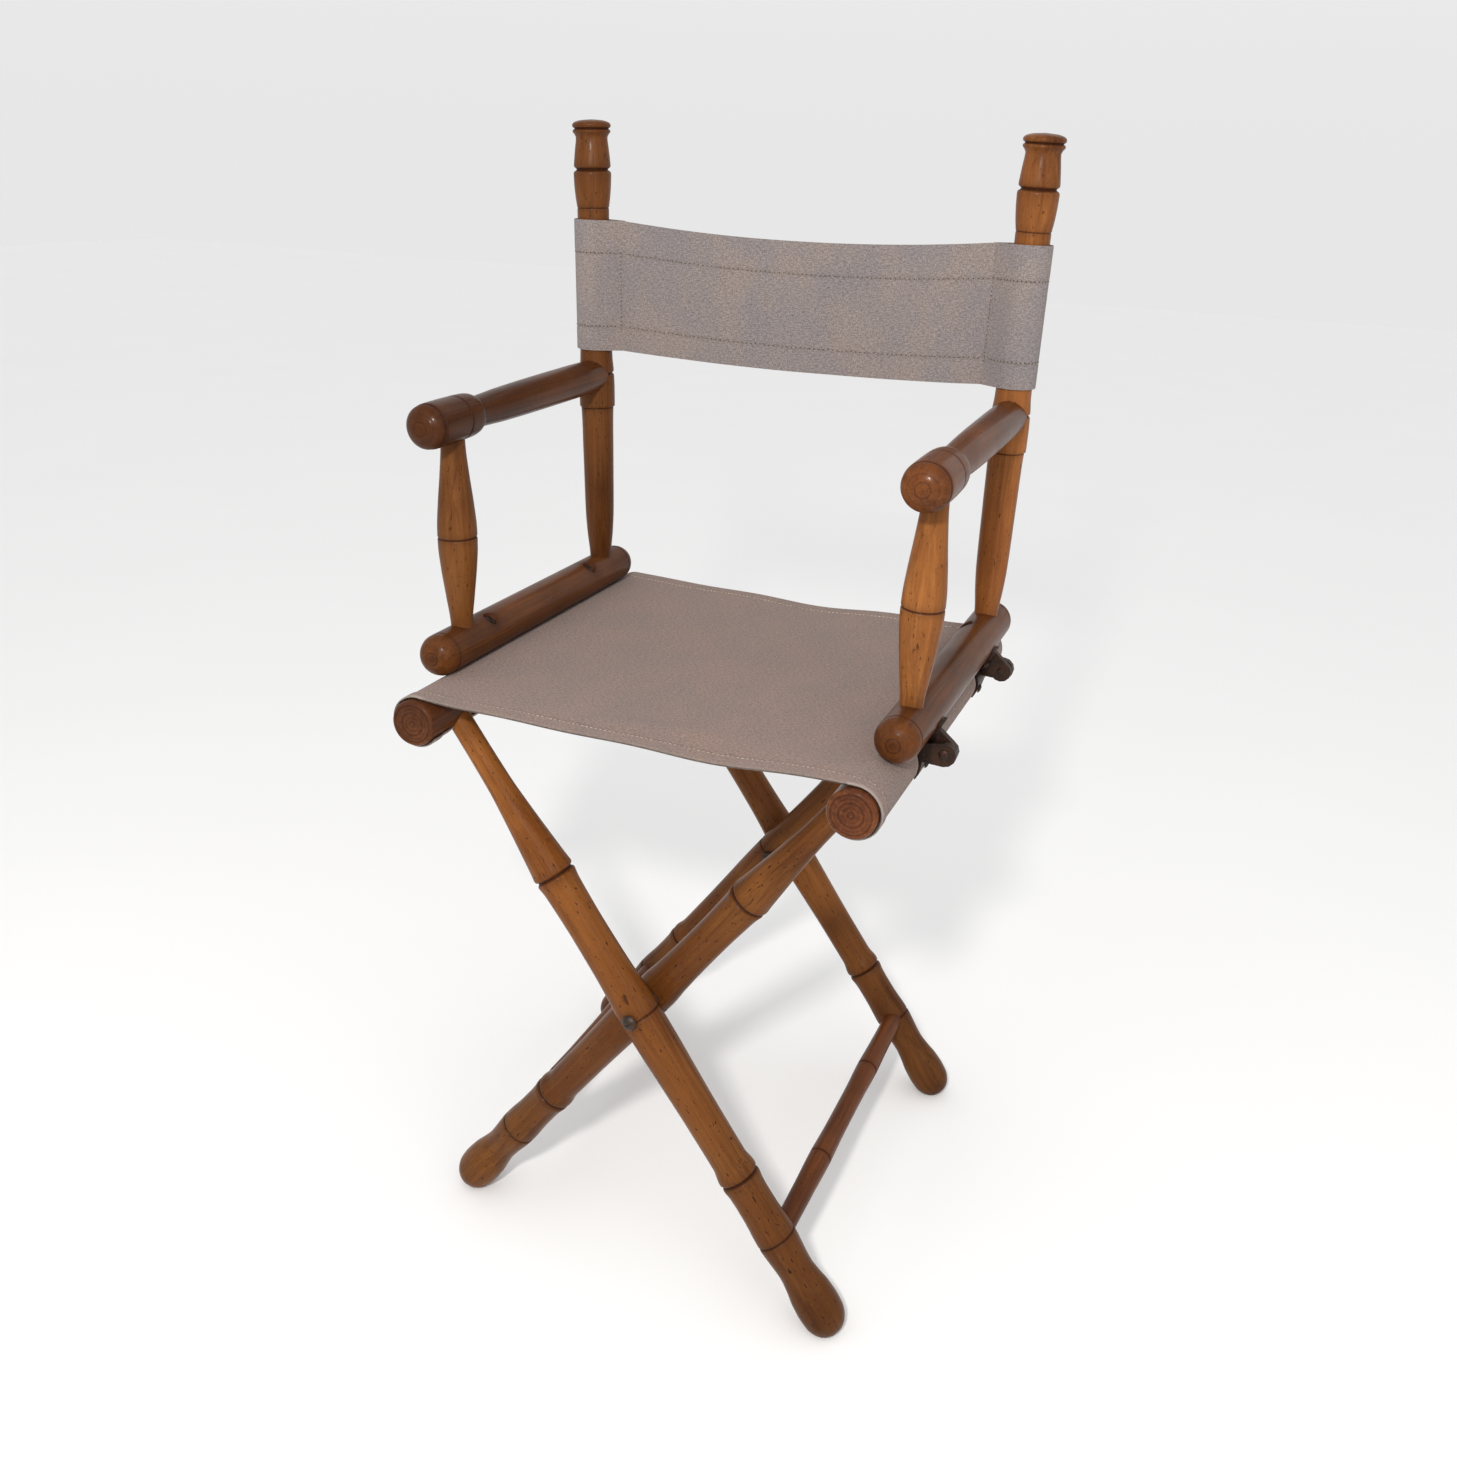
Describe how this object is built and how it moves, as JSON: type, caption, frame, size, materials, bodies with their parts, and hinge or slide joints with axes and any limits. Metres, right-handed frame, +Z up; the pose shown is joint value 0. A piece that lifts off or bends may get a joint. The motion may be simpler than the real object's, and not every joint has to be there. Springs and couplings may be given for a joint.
{
  "type": "folding chair",
  "caption": "Folding director's chair with turned wooden scissor legs, arm frames on iron hinges, and a linen canvas seat and back.",
  "frame": {"origin": "on the floor, at the middle of the chair's footprint", "axes": "+Z up, -Y to the front of the chair, +X to the right as seen from the front"},
  "size_m": [0.4246, 0.3939, 0.8863],
  "materials": {
    "leg_wood": "varnished honey-brown beech, semi-gloss",
    "stretcher_wood": "varnished brown beech, semi-gloss",
    "seat_rail_wood": "dark varnished beech, semi-gloss",
    "arm_rail_wood": "dark varnished beech, semi-gloss",
    "armrest_wood": "dark varnished beech, semi-gloss, polished by hands",
    "spindle_wood": "varnished honey-brown beech, semi-gloss",
    "post_wood": "varnished brown beech, semi-gloss, darker turned rings",
    "hinge_iron": "dark browned iron, satin",
    "pivot_steel": "aged steel, satin",
    "linen": "undyed grey-beige linen canvas, plain weave, stitched hems"
  },
  "bodies": {
    "pivot_core": {"seat_canvas": "linen", "back_canvas": "linen", "pivot_bolt_front": "pivot_steel", "pivot_washer_front": "pivot_steel", "pivot_nut_front": "pivot_steel", "pivot_bolt_rear": "pivot_steel", "pivot_washer_rear": "pivot_steel", "pivot_nut_rear": "pivot_steel"},
    "outer_frame": {"seat_rail_left": "seat_rail_wood", "leg_outer_front": "leg_wood", "leg_outer_rear": "leg_wood", "stretcher_outer": "stretcher_wood", "hinge_seat_leaf_front_left": "hinge_iron", "hinge_pin_front_left": "hinge_iron", "hinge_screw_front_left": "hinge_iron", "hinge_seat_leaf_rear_left": "hinge_iron", "hinge_pin_rear_left": "hinge_iron", "hinge_screw_rear_left": "hinge_iron"},
    "inner_frame": {"seat_rail_right": "seat_rail_wood", "leg_inner_front": "leg_wood", "leg_inner_rear": "leg_wood", "stretcher_inner": "stretcher_wood", "hinge_seat_leaf_front_right": "hinge_iron", "hinge_pin_front_right": "hinge_iron", "hinge_screw_front_right": "hinge_iron", "hinge_seat_leaf_rear_right": "hinge_iron", "hinge_pin_rear_right": "hinge_iron", "hinge_screw_rear_right": "hinge_iron"},
    "left_arm": {"arm_rail_left": "arm_rail_wood", "front_spindle_left": "spindle_wood", "back_post_left": "post_wood", "armrest_left": "armrest_wood", "hinge_arm_leaf_front_left": "hinge_iron", "hinge_bolt_front_left": "hinge_iron", "hinge_nut_front_left": "hinge_iron", "hinge_arm_leaf_rear_left": "hinge_iron", "hinge_bolt_rear_left": "hinge_iron", "hinge_nut_rear_left": "hinge_iron"},
    "right_arm": {"arm_rail_right": "arm_rail_wood", "front_spindle_right": "spindle_wood", "back_post_right": "post_wood", "armrest_right": "armrest_wood", "hinge_arm_leaf_front_right": "hinge_iron", "hinge_bolt_front_right": "hinge_iron", "hinge_nut_front_right": "hinge_iron", "hinge_arm_leaf_rear_right": "hinge_iron", "hinge_bolt_rear_right": "hinge_iron", "hinge_nut_rear_right": "hinge_iron"}
  },
  "joints": [
    {"name": "fold", "type": "hinge", "parent": "pivot_core", "child": "outer_frame", "pos_m": [0, 0.0118, 0.23566], "axis": [0, 1, 0], "range_deg": [0, 29], "deforming": ["seat_canvas", "back_canvas"]},
    {"name": "fold_inner", "type": "hinge", "parent": "pivot_core", "child": "inner_frame", "pos_m": [0, 0.0118, 0.23566], "axis": [0, 1, 0], "range_deg": [-29, 0]},
    {"name": "left_arm_hinge", "type": "hinge", "parent": "outer_frame", "child": "left_arm", "pos_m": [-0.2035, 0.0075, 0.467], "axis": [0, 1, 0], "range_deg": [-29, 0]},
    {"name": "right_arm_hinge", "type": "hinge", "parent": "inner_frame", "child": "right_arm", "pos_m": [0.2035, 0.0075, 0.467], "axis": [0, 1, 0], "range_deg": [0, 29]}
  ],
  "couplings": [
    {"joint": "fold_inner", "follows": "fold", "ratio": -1},
    {"joint": "left_arm_hinge", "follows": "fold", "ratio": -1},
    {"joint": "right_arm_hinge", "follows": "fold", "ratio": 1}
  ]
}
